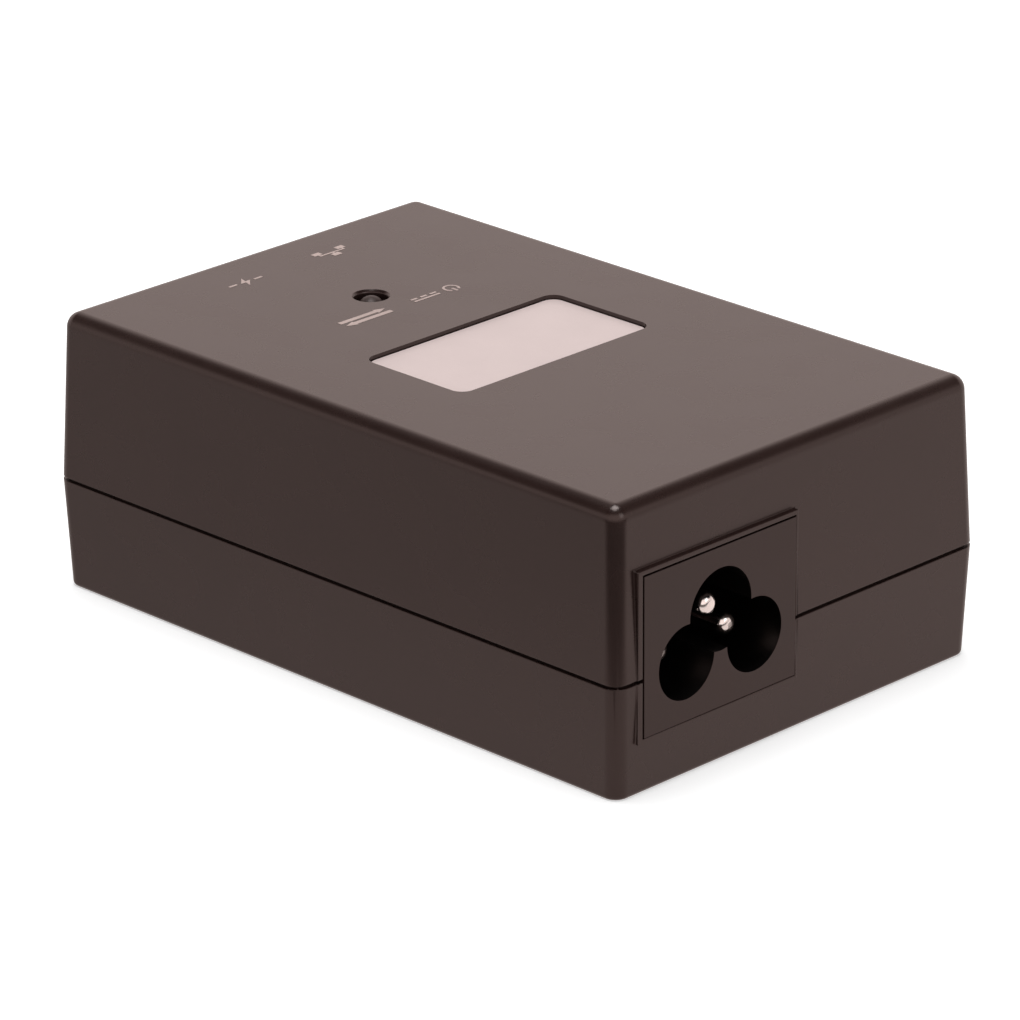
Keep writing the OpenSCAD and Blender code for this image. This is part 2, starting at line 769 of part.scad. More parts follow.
// Rim on the lower case that fits inside the upper case
module tongue() {
    g = 2 * (wall - tongue_setback);
    low = parting_height - tongue_thickness;
    high = parting_height + tongue_height;
    difference() {
        plate(tongue_length, tongue_width, tongue_corner, low, high);
        plate(case_length - g, case_width - g, inner_radius, low - past, high + past);
    }
}

// Room for the tongue in the upper case
module tongue_room() {
    g = 2 * tongue_clearance;
    high = parting_height + tongue_height + tongue_clearance;
    plate(tongue_length + g, tongue_width + g, tongue_corner, parting_height - past, high);
}

// Shadow line round the foot of the upper case
module seam() {
    g = 2 * seam_depth;
    low = parting_height - past;
    high = parting_height + seam_height;
    difference() {
        slab(low, high);
        plate(case_length - g, case_width - g, corner_radius - seam_depth / 2, low - past, high + past);
    }
}

module upper_case() {
    color("#3f3634")
        difference() {
            union() {
                difference() {
                    union() {
                        drafted_block(case_height, top_edge_radius, corner_radius, 0);
                        inlet_pad(parting_height - wall, inlet_top + pad_top);
                    }
                    drafted_block(ceiling, inner_radius, inner_radius, wall);
                    slab(parting_height - 2 * wall, parting_height);
                    tongue_room();
                    seam();
                }
                for (c = columns)
                    translate([c[0], c[1], column_split])
                        cylinder(d = column_diameter, h = ceiling + wall / 2 - column_split);
                for (p = hold_downs)
                    translate([p[0], p[1], hold_down_foot])
                        cylinder(d = hold_down_diameter, h = ceiling + wall / 2 - hold_down_foot);
            }
            for (c = columns)
                translate([c[0], c[1], column_split - past])
                    cylinder(d = screw_diameter + 2 * screw_bite, h = screw_tip - column_split + 2 * past);
            plate(label_length, label_width, label_corner, label_seat, case_height + past);
            lamp_hole();
            inlet_opening();
            socket_opening();
        }
}

module case_screws() {
    slot_half = screw_head_diameter / 3;
    slot_floor = -screw_head_height * 0.45;
    point_diameter = screw_diameter / 3;
    color("#8d8f92")
        for (c = columns)
            translate([c[0], c[1], screw_sink])
                difference() {
                    union() {
                        translate([0, 0, -screw_head_height])
                            cylinder(d = screw_head_diameter, h = screw_head_height);
                        cylinder(d = screw_diameter, h = screw_length - screw_point);
                        translate([0, 0, screw_length - screw_point])
                            cylinder(d1 = screw_diameter, d2 = point_diameter, h = screw_point);
                    }
                    for (a = [0, 90])
                        rotate(a)
                            box(
                                [-slot_half, -screw_slot / 2, -screw_head_height - past],
                                [slot_half, screw_slot / 2, slot_floor]
                            );
                }
}

module top_label() {
    g = 2 * label_gap;
    high = label_seat + label_thickness;
    color("#d8c9c5")
        plate(label_length - g, label_width - g, label_corner - label_gap, label_seat, high);
}

module rating_label() {
    high = label_seat_depth / 2;
    g = 2 * label_gap;
    color("#cfcac6")
        plate(rating_length - g, rating_width - g, label_corner - label_gap, high - label_thickness, high);
}

module inlet_housing() {
    color("#332c2a")
        difference() {
            union() {
                box([inlet_rear, inlet_low, board_top], [inlet_face, inlet_high, inlet_top]);
                box(
                    [collar_front - collar_thickness, inlet_low - collar_reach, board_top],
                    [collar_front, inlet_high + collar_reach, inlet_top + collar_reach]
                );
            }
            for (y = live_ys)
                bar_x([recess_floor, y, ear_z], 2 * ear_radius, recess_depth + past);
            bar_x([recess_floor, inlet_y, head_z], 2 * head_radius, recess_depth + past);
            for (y = live_ys)
                bar_x([inlet_rear - past, y, ear_z], pin_hole_diameter, rear_wall + 2 * past);
            bar_x([inlet_rear - past, inlet_y, head_z], pin_hole_diameter, rear_wall + 2 * past);
        }
}

// Contact pin with a rounded tip, and a thinner root through the rear wall and the terminal
module contact_pin(y, z, sink) {
    tip_start = inlet_face - sink - pin_tip_radius;
    flat = pin_diameter / 2 - pin_tip_radius;
    color("#c9c4b8")
        translate([0, y, z]) {
            bar_x([pin_root_start, 0, 0], pin_root_diameter, pin_shoulder - pin_root_start + tiny);
            bar_x([pin_shoulder, 0, 0], pin_diameter, tip_start - pin_shoulder);
            translate([tip_start, 0, 0])
                rotate([0, 90, 0])
                    rotate_extrude() {
                        square([flat, pin_tip_radius]);
                        intersection() {
                            translate([flat, 0])
                                circle(r = pin_tip_radius);
                            square(pin_diameter);
                        }
                    }
        }
}

module inlet_line_pin() {
    contact_pin(live_ys[0], ear_z, live_pin_sink);
}

module inlet_neutral_pin() {
    contact_pin(live_ys[1], ear_z, live_pin_sink);
}

module inlet_earth_pin() {
    contact_pin(inlet_y, head_z, earth_pin_sink);
}

// Flat terminal behind the inlet, with a hole for the pin root and a foot through the board
module terminal(y, z) {
    low = inlet_rear - terminal_thickness;
    plate_low = board_top + terminal_lift;
    half = terminal_width / 2;
    foot = lead_diameter * 0.35;
    difference() {
        union() {
            box([low, y - half, plate_low], [inlet_rear, y + half, z + half]);
            box([terminal_x - foot, y - foot, lead_end], [terminal_x + foot, y + foot, plate_low + foot]);
        }
        bar_x([low - past, y, z], pin_hole_diameter, terminal_thickness + 2 * past);
    }
}

module inlet_terminals() {
    color("#c7a455") {
        terminal(live_ys[0], ear_z);
        terminal(live_ys[1], ear_z);
        terminal(inlet_y, head_z);
    }
}

module circuit_board() {
    color("#2c6a3f")
        difference() {
            plate(board_length, board_width, board_corner, board_bottom, board_top);
            for (c = columns)
                translate([c[0], c[1], board_bottom - past])
                    cylinder(d = column_diameter + 2 * board_column_gap, h = board_thickness + 2 * past);
            for (s = [-1, 1])
                box(
                    [-half_length, s > 0 ? column_y : -half_width, board_bottom - past],
                    [rear_column_x, s > 0 ? half_width : -column_y, board_top + past]
                );
            for (p = posts)
                translate([p[0], p[1], board_bottom - past])
                    cylinder(d = post_pin_hole, h = board_thickness + 2 * past);
            for (p = pegs)
                translate([p[0], p[1], board_bottom - past])
                    cylinder(d = peg_diameter + 2 * peg_clearance, h = board_thickness + 2 * past);
            for (p = board_leads)
                translate([p[0], p[1], board_bottom - past])
                    cylinder(d = lead_diameter + 2 * lead_clearance, h = board_thickness + 2 * past);
        }
}

// Space for one plug: opening, latch channel, contact slot and the pocket for the carrier
module port_space(y) {
    front = jack_face - past;
    slot_front = bend_x - bend_outer - slot_gap;
    box([front, y - plug_width / 2, plug_floor], [plug_end, y + plug_width / 2, plug_top]);
    box(
        [front, y - latch_width / 2, plug_floor - latch_drop],
        [plug_end, y + latch_width / 2, plug_floor + past]
    );
    box(
        [front, y - latch_groove_width / 2, latch_groove_floor],
        [plug_end, y + latch_groove_width / 2, plug_floor + past]
    );
    box([slot_front, y - contact_half, plug_top - past], [plug_end, y + contact_half, carrier_low + past]);
    box(
        [slot_front, y - carrier_half - carrier_gap, carrier_low],
        [jack_rear + past, y + carrier_half + carrier_gap, bend_z + bend_outer + slot_headroom]
    );
    box(
        [plug_end + plug_wall, y - carrier_half - carrier_gap, board_top - past],
        [jack_rear + past, y + carrier_half + carrier_gap, carrier_low + past]
    );
}

module jack_housing() {
    color("#232326")
        difference() {
            union() {
                box([jack_face, -jack_width / 2, board_top], [jack_rear, jack_width / 2, jack_top]);
                for (p = pegs)
                    translate([p[0], p[1], board_bottom - peg_stub])
                        cylinder(d = peg_diameter, h = peg_stub + board_thickness + tiny);
            }
            port_space(port_pitch / 2);
            port_space(-port_pitch / 2);
        }
}

// Face window of the shield for one port
module shield_window(y) {
    m = window_margin;
    box(
        [shield_face - past, y - plug_width / 2 - m, plug_floor - m],
        [jack_face + past, y + plug_width / 2 + m, plug_top + m]
    );
    box(
        [shield_face - past, y - latch_width / 2 - m, plug_floor - latch_drop - m],
        [jack_face + past, y + latch_width / 2 + m, plug_floor + past]
    );
    box(
        [shield_face - past, y - latch_groove_width / 2 - m, latch_groove_floor - m],
        [jack_face + past, y + latch_groove_width / 2 + m, plug_floor + past]
    );
}

module jack_shield() {
    g = shield_gap;
    color("#b9bcc0")
        difference() {
            box([shield_face, -shield_half, board_top], [jack_rear, shield_half, shield_top]);
            box(
                [jack_face - g, -jack_width / 2 - g, board_top - past],
                [jack_rear + past, jack_width / 2 + g, jack_top + g]
            );
            shield_window(port_pitch / 2);
            shield_window(-port_pitch / 2);
        }
}

// Plastic carrier of one port: a plate with a round nose and a leg down to the board
module contact_carrier(y) {
    box([bend_x, y - carrier_half, carrier_low], [carrier_rear, y + carrier_half, carrier_high]);
    bar_y([bend_x, y - carrier_half, bend_z], 2 * nose_radius, 2 * carrier_half);
    box(
        [carrier_rear - carrier_leg, y - carrier_half, board_top],
        [carrier_rear, y + carrier_half, bend_z]
    );
}

module data_contact_carrier() {
    color("#4a4a4f")
        contact_carrier(port_pitch / 2);
}

module power_contact_carrier() {
    color("#4a4a4f")
        contact_carrier(-port_pitch / 2);
}

// Fixed part of one port's contacts: along the carrier, then down through the board
module contact_tails(y) {
    w = contact_width / 2;
    t = contact_thickness / 2;
    for (i = [0:contact_count - 1]) {
        cy = contact_y(y, i);
        cx = tail_x(i);
        box([bend_x + bend_gap, cy - w, carrier_high], [cx + t, cy + w, carrier_high + 2 * t]);
        box([cx - t, cy - w, lead_end], [cx + t, cy + w, carrier_high + 2 * t]);
    }
}

module data_contact_tails() {
    color("#cdb26a")
        contact_tails(port_pitch / 2);
}

module power_contact_tails() {
    color("#cdb26a")
        contact_tails(-port_pitch / 2);
}

// Moving part of one port's contacts: a bend round the carrier nose, then a straight spring
module contact_springs(y) {
    middle = (bend_inner + bend_outer) / 2;
    for (i = [0:contact_count - 1])
        translate([bend_x, contact_y(y, i), bend_z]) {
            rotate([90, 0, 0])
                rotate([0, 0, 90])
                    rotate_extrude(angle = 180 - spring_slope)
                        translate([bend_inner, -contact_width / 2])
                            square([contact_thickness, contact_width]);
            rotate([0, spring_slope, 0])
                box(
                    [-tiny / 2, -contact_width / 2, -middle - contact_thickness / 2],
                    [spring_length, contact_width / 2, -middle + contact_thickness / 2]
                );
        }
}

module data_contact_springs() {
    color("#d9b75c")
        contact_springs(port_pitch / 2);
}

module power_contact_springs() {
    color("#d9b75c")
        contact_springs(-port_pitch / 2);
}

module status_lamp() {
    r = lamp_diameter / 2;
    color("#cfd2d0")
        translate([lamp_x, 0, lamp_foot]) {
            cylinder(d = lamp_flange_diameter, h = lamp_flange_height);
            cylinder(r = r, h = lamp_height - r);
            translate([0, 0, lamp_height - r])
                rotate_extrude()
                    intersection() {
                        circle(r = r);
                        square(r);
                    }
        }
}

module lamp_leads() {
    w = lamp_lead_width / 2;
    color("#b4b6b8")
        for (p = lamp_leads_at)
            box([p[0] - w, p[1] - w, lead_end], [p[0] + w, p[1] + w, lamp_foot]);
}

module lamp_spacer() {
    color("#ddd8cc")
        difference() {
            translate([lamp_x, 0, board_top])
                cylinder(d = lamp_spacer_diameter, h = lamp_foot - board_top);
            for (p = lamp_leads_at)
                translate([p[0], p[1], board_top - past])
                    cylinder(d = lamp_lead_hole, h = lamp_foot - board_top + 2 * past);
        }
}

module input_fuse() {
    color("#5b3a2a")
        stand(fuse_at) {
            cylinder(d = fuse_diameter, h = fuse_height);
            leads(pair_along, lead_grip);
        }
}

module surge_varistor() {
    z = disc_lift + varistor_diameter / 2;
    color("#2f5fa3")
        stand(varistor_at) {
            bar_x([-varistor_thickness / 2, 0, z], varistor_diameter, varistor_thickness);
            leads(pair_across, z);
        }
}

module filter_capacitor() {
    color("#d6a72c")
        stand(filter_at) {
            translate([0, 0, filter_cap_height / 2])
                cube([filter_cap_length, filter_cap_width, filter_cap_height], center = true);
            leads(filter_leads, lead_grip);
        }
}

module choke_core() {
    color("#4c5550")
        stand(choke_at)
            translate([0, 0, choke_winding + core_gap])
                difference() {
                    cylinder(d = choke_outer, h = choke_height);
                    translate([0, 0, -past])
                        cylinder(d = choke_inner, h = choke_height + 2 * past);
                }
}

// Two windings, each a hollow arc round its side of the core
module choke_windings() {
    cover = core_gap + choke_winding;
    r_in = choke_inner / 2;
    r_out = choke_outer / 2;
    arc = 130;
    color("#a5582b")
        stand(choke_at) {
            for (side = [0, 180])
                rotate(side + (180 - arc) / 2)
                    rotate_extrude(angle = arc)
                        difference() {
                            translate([r_in - cover, 0])
                                square([r_out - r_in + 2 * cover, choke_height + 2 * cover]);
                            translate([r_in - core_gap, choke_winding])
                                square([r_out - r_in + 2 * core_gap, choke_height + 2 * core_gap]);
                        }
            leads(choke_leads, lead_grip);
        }
}

// Moulded chip with two rows of side legs through the board, in its own frame
module chip(length, count) {
    leg_top = chip_lift + chip_height / 2;
    leg_low = leg_top - chip_leg_thickness;
    w = chip_leg_width / 2;
    t = chip_leg_thickness / 2;
    color("#1e1e20")
        translate([0, 0, leg_top])
            cube([length, chip_width, chip_height], center = true);
    color("#b4b6b8")
        for (p = chip_rows(count)) {
            inner = sign(p[1]) * (chip_width / 2 - t);
            outer = p[1] + sign(p[1]) * t;
            box([p[0] - w, min(inner, outer), leg_low], [p[0] + w, max(inner, outer), leg_top]);
            box([p[0] - w, p[1] - t, -lead_depth], [p[0] + w, p[1] + t, leg_top]);
        }
}

module bridge_rectifier() {
    stand(bridge_at)
        chip(bridge_length, 2);
}

module controller_chip() {
    stand(controller_at)
        chip(controller_length, 4);
}

module optocoupler() {
    stand(optocoupler_at)
        chip(optocoupler_length, 2);
}

// Electrolytic can with a crimp groove near its foot, in its own frame
module can(d, h, points) {
    difference() {
        cylinder(d = d, h = h);
        translate([0, 0, groove_rise])
            difference() {
                cylinder(d = d + past, h = groove_width);
                translate([0, 0, -past])
                    cylinder(d = d - 2 * groove_depth, h = groove_width + 2 * past);
            }
    }
    leads(points, lead_grip);
}

module bulk_capacitor() {
    color("#26334d")
        stand(bulk_at)
            can(bulk_diameter, bulk_height, pair_across);
}

module output_capacitors() {
    color("#26334d")
        for (c = output_caps_at)
            stand(c)
                can(output_cap_diameter, output_cap_height, small_pair);
}

// Ferrite core with two windows, round the bobbin
module transformer_core() {
    window = (core_width - 2 * core_leg - core_centre) / 2;
    color("#4a4744")
        stand(transformer_at)
            translate([0, 0, core_lift + core_height / 2])
                difference() {
                    cube([core_width, core_depth, core_height], center = true);
                    for (s = [-1, 1])
                        translate([s * (core_centre + window) / 2, 0, 0])
                            cube([window, core_depth + past, core_height - 2 * core_leg], center = true);
                }
}

// Flat bar of the bobbin, centred on the core, between two heights
module bobbin_bar(length, depth, low, high) {
    translate([-length / 2, -depth / 2, low])
        cube([length, depth, high - low]);
}

module transformer_bobbin() {
    low = core_lift + core_leg + core_gap / 2;
    high = core_lift + core_height - core_leg - core_gap / 2;
    tube_x = core_centre + 2 * core_gap;
    tube_y = core_depth + 2 * core_gap;
    flange_x = core_width - 2 * core_leg - 3 * core_gap;
    flange_y = winding_depth + 2 * flange_reach;
    color("#2b2b2d")
        stand(transformer_at) {
            difference() {
                union() {
                    bobbin_bar(tube_x + 2 * bobbin_wall, tube_y + 2 * bobbin_wall, low, high);
                    bobbin_bar(flange_x, flange_y, low, low + flange_thickness);
                    bobbin_bar(flange_x, flange_y, high - flange_thickness, high);
                    for (s = [-1, 1])
                        translate([0, s * rail_y, 0])
                            bobbin_bar(rail_length, rail_width, 0, low + flange_thickness);
                }
                bobbin_bar(tube_x, tube_y, low - past, high + past);
            }
            leads(transformer_leads, lead_grip);
        }
}

module transformer_winding() {
    low = core_lift + core_leg + core_gap + flange_thickness;
    high = core_lift + core_height - core_leg - core_gap - flange_thickness;
    hole_x = core_centre + 3 * core_gap + 2 * bobbin_wall;
    hole_y = core_depth + 3 * core_gap + 2 * bobbin_wall;
    length = core_width - 2 * core_leg - 5 * core_gap;
    color("#d8b23a")
        stand(transformer_at)
            difference() {
                plate(length, winding_depth, winding_corner, low, high);
                bobbin_bar(hole_x, hole_y, low - past, high + past);
            }
}

// Power device with its tab flat against a heatsink face at y = 0, in its own frame
module power_device() {
    w = device_width / 2;
    color("#1e1e20")
        box([-w, 0, device_lift], [w, device_thickness, device_lift + device_height]);
    color("#b4b6b8") {
        difference() {
            box([-w, 0, device_lift], [w, tab_thickness, device_lift + tab_height]);
            bar_y([0, -past, device_lift + tab_hole_height], tab_hole_diameter, tab_thickness + 2 * past);
        }
        leads(device_leads, device_lift + lead_grip);
    }
}

// Upright heatsink plate behind y = 0 with a hole for its screw, in its own frame
module heatsink(length) {
    hole = sink_screw_diameter + 2 * screw_bite;
    z = device_lift + tab_hole_height;
    color("#b9bcc0")
        difference() {
            box([-length / 2, -heatsink_thickness, 0], [length / 2, 0, heatsink_height]);
            bar_y([0, -heatsink_thickness - past, z], hole, heatsink_thickness + 2 * past);
        }
}

// Screw through a device tab into its heatsink, in its own frame
module heatsink_screw() {
    z = device_lift + tab_hole_height;
    bar_y([0, -heatsink_thickness, z], sink_screw_diameter, heatsink_thickness + tab_thickness);
    bar_y([0, tab_thickness, z], sink_screw_head, sink_screw_head_height);
}

module switching_transistor() {
    stand(primary_at)
        power_device();
}

module output_rectifier() {
    stand(secondary_at, 180)
        power_device();
}

module primary_heatsink() {
    stand(primary_at)
        heatsink(primary_sink_length);
}

module secondary_heatsink() {
    stand(secondary_at, 180)
        heatsink(secondary_sink_length);
}

module heatsink_screws() {
    color("#8d8f92") {
        stand(primary_at)
            heatsink_screw();
        stand(secondary_at, 180)
            heatsink_screw();
    }
}

module bridging_capacitor() {
    z = disc_lift + bridging_diameter / 2;
    color("#2f6fb0")
        stand(bridging_at) {
            bar_y([0, -bridging_thickness / 2, z], bridging_diameter, bridging_thickness);
            leads(pair_along, z);
        }
}

module output_inductor() {
    color("#3a3a3c")
        stand(inductor_at) {
            difference() {
                cylinder(d = inductor_diameter, h = inductor_height);
                translate([0, 0, inductor_flange])
                    difference() {
                        cylinder(d = inductor_diameter + past, h = inductor_height - 2 * inductor_flange);
                        translate([0, 0, -past])
                            cylinder(d = inductor_diameter - 2 * inductor_waist, h = inductor_height);
                    }
            }
            leads(pair_along, lead_grip);
        }
}

lower_case();
upper_case();
case_screws();
top_label();
rating_label();
inlet_housing();
inlet_line_pin();
inlet_neutral_pin();
inlet_earth_pin();
inlet_terminals();
circuit_board();
jack_housing();
jack_shield();
data_contact_carrier();
data_contact_tails();
data_contact_springs();
power_contact_carrier();
power_contact_tails();
power_contact_springs();
status_lamp();
lamp_leads();
lamp_spacer();
input_fuse();
surge_varistor();
filter_capacitor();
choke_core();
choke_windings();
bridge_rectifier();
bulk_capacitor();
transformer_core();
transformer_bobbin();
transformer_winding();
controller_chip();
switching_transistor();
primary_heatsink();
optocoupler();
bridging_capacitor();
output_rectifier();
secondary_heatsink();
heatsink_screws();
output_capacitors();
output_inductor();
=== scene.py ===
"""Looks of the power injector: finishes, printed marks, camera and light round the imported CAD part."""

import math

import bmesh
import bpy
from mathutils import Matrix, Vector


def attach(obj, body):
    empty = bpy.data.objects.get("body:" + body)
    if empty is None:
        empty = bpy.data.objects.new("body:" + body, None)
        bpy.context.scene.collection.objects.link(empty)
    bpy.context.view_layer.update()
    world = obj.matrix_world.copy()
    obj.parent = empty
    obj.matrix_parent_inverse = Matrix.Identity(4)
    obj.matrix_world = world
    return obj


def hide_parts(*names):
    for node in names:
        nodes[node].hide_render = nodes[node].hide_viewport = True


MM = 0.001
MICRON = 0.000001
ROOT = "injector"

# Outer shape of the case in millimetres, as the CAD draws it
HALF_LENGTH = 40.0
HALF_WIDTH = 26.0
CASE_HEIGHT = 30.0
PARTING_HEIGHT = 11.85
DRAFT_SLOPE = math.tan(math.radians(2.2))

# Block that the inlet's recess lies in, starting just under the face of its plate, in millimetres;
# inside it the inlet is coloured near black as painted shade
INLET_FACE = 40.1
RECESS_MIDDLE = (INLET_FACE - 6.0, -11.65, 14.3)
RECESS_HALF = (6.0 - 0.03, 9.4, 7.2)

# Rounded edges: the least angle that counts as sharp, how deep the outside of a shell and its flat
# top and base reach, and the distance at which points are welded, in millimetres
SHARP_ANGLE = math.radians(32)
OUTSIDE_DEPTH = 0.45
FLAT_FACE_DEPTH = 0.05
WELD_DISTANCE = 0.002

# How strongly large faces set the smoothed normals
FLAT_FACE_WEIGHT = 60

# Print on the top face: how far it stands above the face and reaches below it, in millimetres
PRINT_RISE = 0.02
PRINT_ROOT = 0.01

# Plain colours, linear
WHITE = (1.0, 1.0, 1.0)
CASE_BROWN = (0.0215, 0.0104, 0.0088)
CASE_SHEEN = (1.0, 0.86, 0.83)
INLET_BROWN = (0.0215, 0.0106, 0.0090)
# Painted shade: near black given to the inlet inside its recess, where shade falls
RECESS_PAINTED_SHADE = (0.0015, 0.0012, 0.0012)
INK_GREY = (0.49, 0.38, 0.35)
LABEL_SILVER = (0.665, 0.548, 0.532)
# Painted shade: the lamp's clear epoxy is given a near black colour for the shade of its dark hole
LENS_PAINTED_SHADE = (0.022, 0.0125, 0.011)
MASK_GREEN = (0.012, 0.10, 0.035)
MASK_GREEN_LIGHT = (0.016, 0.12, 0.04)
TRACK_GREEN = (0.03, 0.17, 0.06)

# Plain metals by the record's slot; a low number in along draws the streaks out along that axis
METALS = {
    "screw_steel": {"colour": (0.50, 0.50, 0.51), "rough": 0.32},
    "plated_pin": {"colour": (0.94, 0.91, 0.89), "rough": 0.15, "along": (0.2, 1, 1)},
    "terminal_brass": {"colour": (0.70, 0.50, 0.20), "rough": 0.3},
    "shield_sheet": {"colour": (0.62, 0.62, 0.63), "rough": 0.28, "along": (1, 0.08, 1)},
    "contact_gold": {"colour": (0.83, 0.61, 0.25), "rough": 0.32, "mirror": 0.6},
    "lead_tin": {"colour": (0.64, 0.64, 0.65), "rough": 0.34},
    "copper_wire": {"colour": (0.55, 0.2, 0.07), "rough": 0.3, "along": (1, 1, 0.1)},
    "sink_aluminium": {"colour": (0.66, 0.67, 0.68), "rough": 0.35, "along": (0.1, 1, 1)},
}

# Plain plastics and coatings by the record's slot; grain in millimetres, relief in microns
PLASTICS = {
    "jack_plastic": {"colour": (0.02, 0.02, 0.022), "rough": 0.45},
    "spacer_plastic": {"colour": (0.70, 0.67, 0.60), "rough": 0.45},
    "fuse_plastic": {"colour": (0.11, 0.045, 0.024), "rough": 0.42},
    "disc_coating": {"colour": (0.03, 0.11, 0.34), "rough": 0.3, "grain": 0.8, "relief": 20},
    "filter_plastic": {"colour": (0.66, 0.38, 0.03), "rough": 0.4},
    "ferrite": {"colour": (0.06, 0.056, 0.052), "rough": 0.6, "grain": 0.4, "relief": 10},
    "chip_plastic": {"colour": (0.015, 0.015, 0.016), "rough": 0.55},
    "can_sleeve": {"colour": (0.02, 0.034, 0.075), "rough": 0.35, "grain": 1.2},
    "winding_tape": {"colour": (0.68, 0.45, 0.05), "rough": 0.3, "grain": 1.5, "relief": 10},
}

# Blobs of the noises in those finishes, in millimetres
TONE_SIZE = 6.0
WAVE_SIZE = 14.0
STREAK_SIZE = 0.4
TARNISH_SIZE = 3.0

# How much of a plastic's spread in tone its roughness swings
GLOSS_SHARE = 0.3

# Range that most of a noise lies in
NOISE_LOW = 0.3
NOISE_HIGH = 0.7

# First input, second input and output of a Mix node, by the kind of value that it mixes
MIX_SOCKETS = {"FLOAT": (2, 3, 0), "RGBA": (6, 7, 2)}

# Even white light from the room on matt surfaces
ROOM_FILL = 0.30

# The room as mirror rays see it: warm walls, and a dark ceiling that is higher front and back. Its
# edge starts and ends at these angles above the horizon, in degrees
ROOM_TINT = (1.0, 0.845, 0.80)
WALL_SIDES = 0.73
WALL_ENDS = 1.10
CEILING_START = 15.0
CEILING_FULL = 27.0
CEILING_SLOPE = 0.47

# The floor as mirror rays see it: a pool of light, whose level runs from left to right over its
# width and fades to a share of it between two distances towards the camera, in metres
POOL_LEFT = 0.62
POOL_RIGHT = 0.88
POOL_HALF_WIDTH = 0.06
POOL_EDGE = 0.066
POOL_END = 0.084
POOL_FADED = 0.2

# The floor as the camera sees it: a grey that is lifted to white, and more so far from the middle
FLOOR_HALF_SIZE = 4.0
FLOOR_COLOUR = (0.88, 0.88, 0.88)
LIFT_NEAR = 0.48
LIFT_FAR = 0.8
LIFT_NEAR_AT = 0.12
LIFT_FAR_AT = 0.5

# Camera at the photograph's view: its axes, its place and lens in millimetres, and its near limit
# in metres
CAMERA_RIGHT = (0.70880083, 0.70537782, -0.00659679)
CAMERA_UP = (-0.25830783, 0.26824081, 0.92807539)
CAMERA_BACK = (0.65641332, -0.6561166, 0.37233392)
CAMERA_PLACE = (398.67, -398.49, 237.97)
CAMERA_LENS = 211.0
SENSOR_WIDTH = 36.0
CLIP_START = 0.01

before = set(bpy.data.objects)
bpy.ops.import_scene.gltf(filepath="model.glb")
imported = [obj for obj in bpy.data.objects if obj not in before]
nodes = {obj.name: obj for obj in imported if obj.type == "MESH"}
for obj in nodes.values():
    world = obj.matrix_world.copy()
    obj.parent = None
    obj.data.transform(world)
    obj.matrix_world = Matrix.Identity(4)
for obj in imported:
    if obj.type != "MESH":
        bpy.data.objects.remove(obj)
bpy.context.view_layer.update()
slots = {name: node.data.materials[0].name for name, node in nodes.items()}


# Node helpers


def start_material(name):
    """A new material with its node tree and its Principled shader."""
    material = bpy.data.materials.new(name)
    material.use_nodes = True
    return material, material.node_tree, principled(material)


def principled(material):
    """The Principled shader of a material."""
    return material.node_tree.nodes["Principled BSDF"]


def rgba(colour):
    """The colour as a socket takes it."""
    return (*colour, 1.0)


def shade(colour, amount):
    """The colour times an amount."""
    return tuple(min(1.0, c * amount) for c in colour)


def add_node(tree, kind, **properties):
    """A new node with some of its properties set."""
    node = tree.nodes.new(kind)
    for key, value in properties.items():
        setattr(node, key, value)
    return node


def feed(tree, value, socket):
    """Links an output to a socket, or sets the socket to a constant."""
    if isinstance(value, bpy.types.NodeSocket):
        tree.links.new(value, socket)
    else:
        socket.default_value = value


def calculate(tree, operation, *values):
    """Output of a Math node for outputs or numbers."""
    node = add_node(tree, "ShaderNodeMath", operation=operation)
    for value, socket in zip(values, node.inputs):
        feed(tree, value, socket)
    return node.outputs["Value"]


def calculate_vector(tree, operation, *values):
    """Output of a Vector Math node for outputs or constant vectors."""
    node = add_node(tree, "ShaderNodeVectorMath", operation=operation)
    for value, socket in zip(values, node.inputs):
        feed(tree, value, socket)
    return node.outputs["Value" if operation == "LENGTH" else "Vector"]


def split_axes(tree, vector):
    """Outputs of a vector's three parts."""
    node = add_node(tree, "ShaderNodeSeparateXYZ")
    tree.links.new(vector, node.inputs["Vector"])
    return [node.outputs[axis] for axis in "XYZ"]


def mix(tree, kind, factor, first, second):
    """Output that goes from the first value or colour to the second; either may be an output."""
    node = add_node(tree, "ShaderNodeMix", data_type=kind)
    first_at, second_at, result_at = MIX_SOCKETS[kind]
    tree.links.new(factor, node.inputs[0])
    feed(tree, first, node.inputs[first_at])
    feed(tree, second, node.inputs[second_at])
    return node.outputs[result_at]


def object_point(tree, stretch=(1, 1, 1)):
    """Output with the point on the object in metres, stretched for grain that runs one way."""
    coords = add_node(tree, "ShaderNodeTexCoord")
    mapping = add_node(tree, "ShaderNodeMapping")
    mapping.inputs["Scale"].default_value = stretch
    tree.links.new(coords.outputs["Object"], mapping.inputs["Vector"])
    return mapping.outputs["Vector"]


def noise(tree, point, size, detail):
    """Output of a noise whose blobs are about this size in millimetres."""
    node = add_node(tree, "ShaderNodeTexNoise")
    node.inputs["Scale"].default_value = 1.0 / (size * MM)
    node.inputs["Detail"].default_value = detail
    tree.links.new(point, node.inputs["Vector"])
    return node.outputs["Fac"]


def remap(tree, value, low, high, from_low=NOISE_LOW, from_high=NOISE_HIGH):
    """Output that runs from low to high as the value runs over its range."""
    node = add_node(tree, "ShaderNodeMapRange")
    node.inputs["From Min"].default_value = from_low
    node.inputs["From Max"].default_value = from_high
    node.inputs["To Min"].default_value = low
    node.inputs["To Max"].default_value = high
    tree.links.new(value, node.inputs["Value"])
    return node.outputs["Result"]


def bump(tree, height, depth, below=None):
    """Output normal with a relief of this depth in microns, on top of another relief."""
    node = add_node(tree, "ShaderNodeBump")
    node.inputs["Strength"].default_value = 1.0
    node.inputs["Distance"].default_value = depth * MICRON
    tree.links.new(height, node.inputs["Height"])
    if below is not None:
        tree.links.new(below, node.inputs["Normal"])
    return node.outputs["Normal"]


